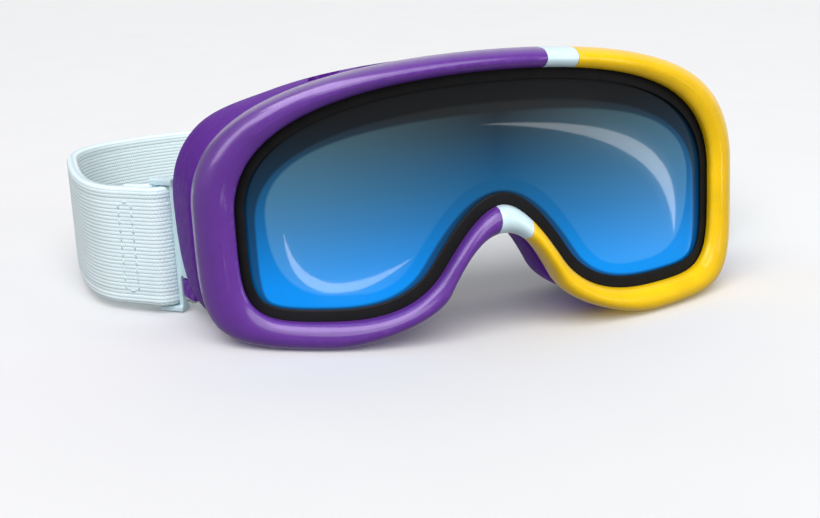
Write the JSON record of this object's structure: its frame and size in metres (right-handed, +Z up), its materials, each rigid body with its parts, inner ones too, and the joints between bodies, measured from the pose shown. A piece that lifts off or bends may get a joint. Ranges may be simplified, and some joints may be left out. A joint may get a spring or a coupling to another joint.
{
  "type": "ski goggles",
  "caption": "Ski goggles with a two-colour rim, curved double lens, foam-padded face frame, hinged strap outriggers and a wide elastic strap with a sliding adjuster.",
  "frame": {"origin": "middle of the base of the bounding box, on the surface the goggles stand on", "axes": "+X towards the wearer's left side, which is the viewer's right; the lens faces -Y; the strap loops back towards +Y; +Z up"},
  "size_m": [0.244, 0.202, 0.0855],
  "materials": {
    "purple_plastic": "satin moulded plastic",
    "yellow_plastic": "satin moulded plastic",
    "white_plastic": "satin moulded plastic",
    "black_rubber": "matte rubber",
    "tinted_lens": "polished, graded from smoke to blue",
    "clear_lens": "polished clear sheet",
    "spacer_foam": "closed-cell foam gasket",
    "black_plastic": "textured moulded plastic",
    "vent_foam": "open-cell foam",
    "firm_foam": "firm foam",
    "soft_foam": "soft foam",
    "fleece_lining": "brushed fleece",
    "strap_elastic": "woven elastic",
    "steel_pin": "turned steel",
    "slider_plastic": "moulded plastic",
    "grip_silicone": "clear silicone bead"
  },
  "bodies": {
    "root": {"rim_left": "purple_plastic", "rim_top_band": "white_plastic", "rim_nose_band": "white_plastic", "rim_right": "yellow_plastic", "lens_seal": "black_rubber", "outer_lens": "tinted_lens", "lens_spacer": "spacer_foam", "inner_lens": "clear_lens", "lens_carrier": "black_plastic", "face_frame": "purple_plastic", "top_vent_foam": "vent_foam", "bottom_vent_foam_left": "vent_foam", "bottom_vent_foam_right": "vent_foam", "foam_base": "firm_foam", "foam_core": "soft_foam", "foam_lining": "fleece_lining", "pin_left": "steel_pin", "pin_right": "steel_pin", "pin_clip_left": "steel_pin", "pin_clip_right": "steel_pin", "strap": "strap_elastic", "strap_return": "strap_elastic", "grip_strip_lower": "grip_silicone", "grip_strip_middle": "grip_silicone", "grip_strip_upper": "grip_silicone"},
    "outrigger_left": {"outrigger_left": "white_plastic", "strap_end_left": "strap_elastic"},
    "outrigger_right": {"outrigger_right": "white_plastic", "strap_end_right": "strap_elastic"},
    "slider": {"slider": "slider_plastic", "strap_tail": "strap_elastic"}
  },
  "joints": [
    {"name": "outrigger_left_hinge", "type": "hinge", "parent": "root", "child": "outrigger_left", "pos_m": [-0.086, -0.02795, 0.022], "axis": [0, 0, 1], "range_deg": [-25, 10]},
    {"name": "outrigger_right_hinge", "type": "hinge", "parent": "root", "child": "outrigger_right", "pos_m": [0.086, -0.02795, 0.022], "axis": [0, 0, -1], "range_deg": [-25, 10]},
    {"name": "strap_slide", "type": "slide", "parent": "root", "child": "slider", "axis": [-1, 0, 0], "range_m": [-0.008, 0.016]}
  ]
}
